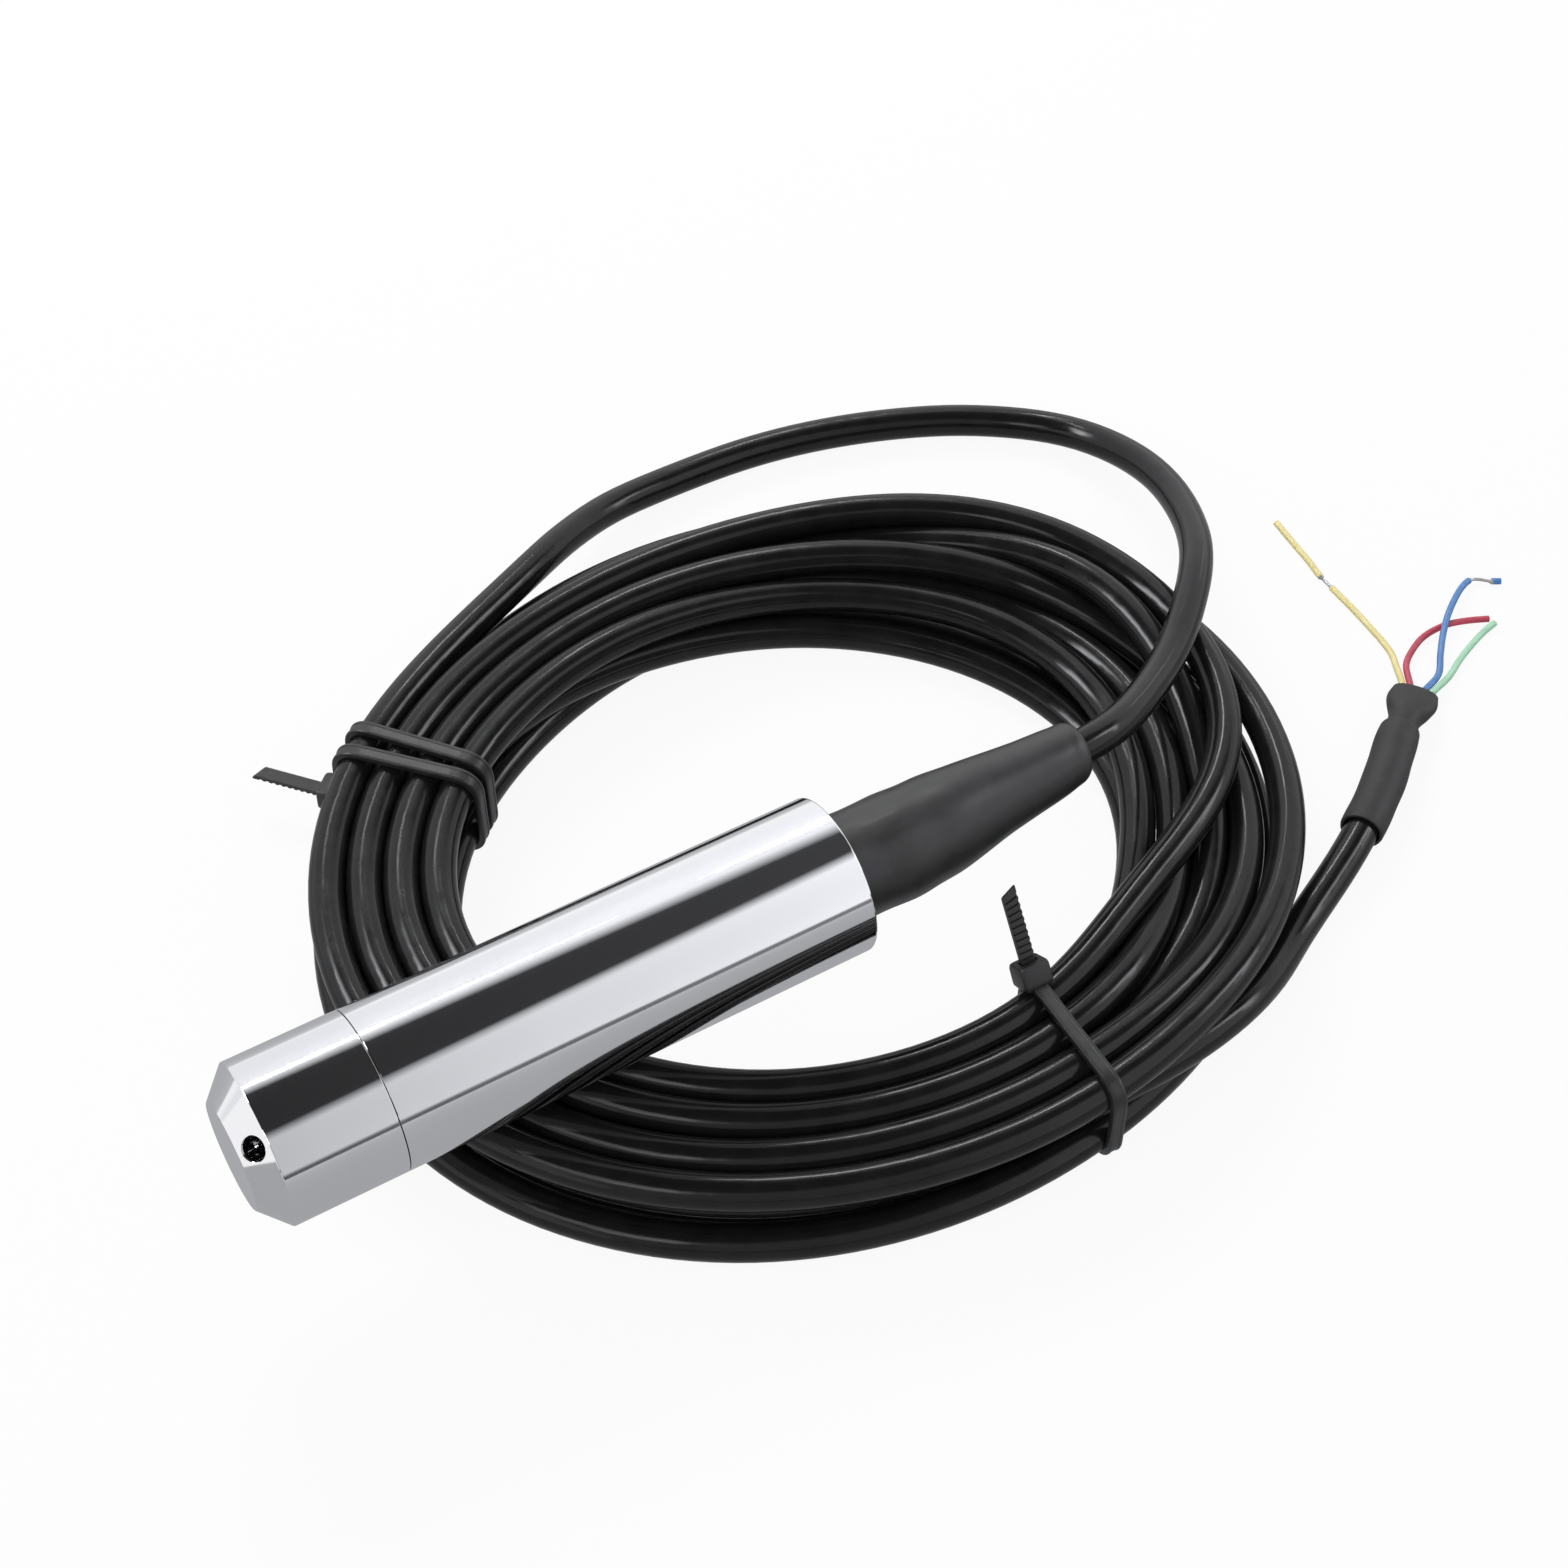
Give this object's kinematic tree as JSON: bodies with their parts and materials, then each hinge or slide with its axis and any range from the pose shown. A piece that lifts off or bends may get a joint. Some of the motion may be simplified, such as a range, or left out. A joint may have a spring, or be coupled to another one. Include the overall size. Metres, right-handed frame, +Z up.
{
  "type": "submersible level transmitter",
  "caption": "Stainless submersible level probe with a screwed nose cap, a strain relief boot and a tied coil of vented cable with free conductors.",
  "frame": {"origin": "middle of the nose cap's flat end face", "axes": "+X along the probe's axis toward the cable, +Z up from the surface that the coil lies on"},
  "size_m": [0.2761, 0.1827, 0.0477],
  "materials": {
    "polished_steel": "polished stainless steel",
    "bright_steel": "turned stainless steel",
    "black_rubber": "black sealing rubber",
    "boot_polymer": "satin black shrunk polymer",
    "cable_jacket": "glossy black jacket",
    "sleeve_polymer": "matte black heat shrink",
    "tie_nylon": "black nylon",
    "board_laminate": "green board laminate",
    "component_body": "black moulded packages",
    "trimmer_body": "blue moulded trimmer",
    "terminal_body": "green moulded terminal",
    "cradle_polymer": "natural moulded polymer",
    "vent_polymer": "white polymer",
    "insulation_yellow": "yellow wire insulation",
    "insulation_red": "red wire insulation",
    "insulation_blue": "blue wire insulation",
    "insulation_green": "green wire insulation"
  },
  "bodies": {
    "probe": {"housing_tube": "polished_steel", "sensor_cell": "bright_steel", "isolation_diaphragm": "bright_steel", "sensor_o_ring": "black_rubber", "sensor_lock_ring": "bright_steel", "header_pin_1": "bright_steel", "header_pin_2": "bright_steel", "header_pin_3": "bright_steel", "header_pin_4": "bright_steel", "compensation_board": "board_laminate", "board_cradle": "cradle_polymer", "circuit_board": "board_laminate", "loop_driver_chip": "component_body", "output_transistor": "component_body", "filter_capacitor": "bright_steel", "surge_diode": "component_body", "zero_trimmer": "trimmer_body", "span_trimmer": "trimmer_body", "terminal_block": "terminal_body", "signal_lead_1": "vent_polymer", "signal_lead_2": "vent_polymer", "signal_lead_3": "vent_polymer", "signal_lead_4": "vent_polymer", "supply_lead_yellow": "insulation_yellow", "supply_lead_red": "insulation_red", "supply_lead_blue": "insulation_blue", "supply_lead_green": "insulation_green", "vent_tube": "vent_polymer", "gland_body": "bright_steel", "plug_o_ring": "black_rubber", "gland_seal": "black_rubber", "gland_washer": "bright_steel", "gland_nut": "bright_steel", "strain_boot": "boot_polymer", "cable_lead": "cable_jacket", "cable_coil": "cable_jacket", "cable_tail": "cable_jacket", "tail_sleeve": "sleeve_polymer", "breakout_sleeve": "sleeve_polymer", "conductor_yellow": "insulation_yellow", "conductor_red": "insulation_red", "conductor_blue": "insulation_blue", "conductor_green": "insulation_green", "tie_left_front": "tie_nylon", "tie_left_rear": "tie_nylon", "tie_right": "tie_nylon"},
    "gasket": {"nose_gasket": "black_rubber"},
    "cap": {"nose_cap": "polished_steel"}
  },
  "joints": [
    {"name": "cap_travel", "type": "slide", "parent": "probe", "child": "gasket", "axis": [-1, 0, 0], "range_m": [0, 0.009]},
    {"name": "cap_turn", "type": "hinge", "parent": "gasket", "child": "cap", "pos_m": [0, 0, 0], "axis": [-1, 0, 0], "range_deg": [0, 2160]}
  ],
  "couplings": [
    {"joint": "cap_travel", "follows": "cap_turn", "m_per_rad": 0.00023873}
  ]
}
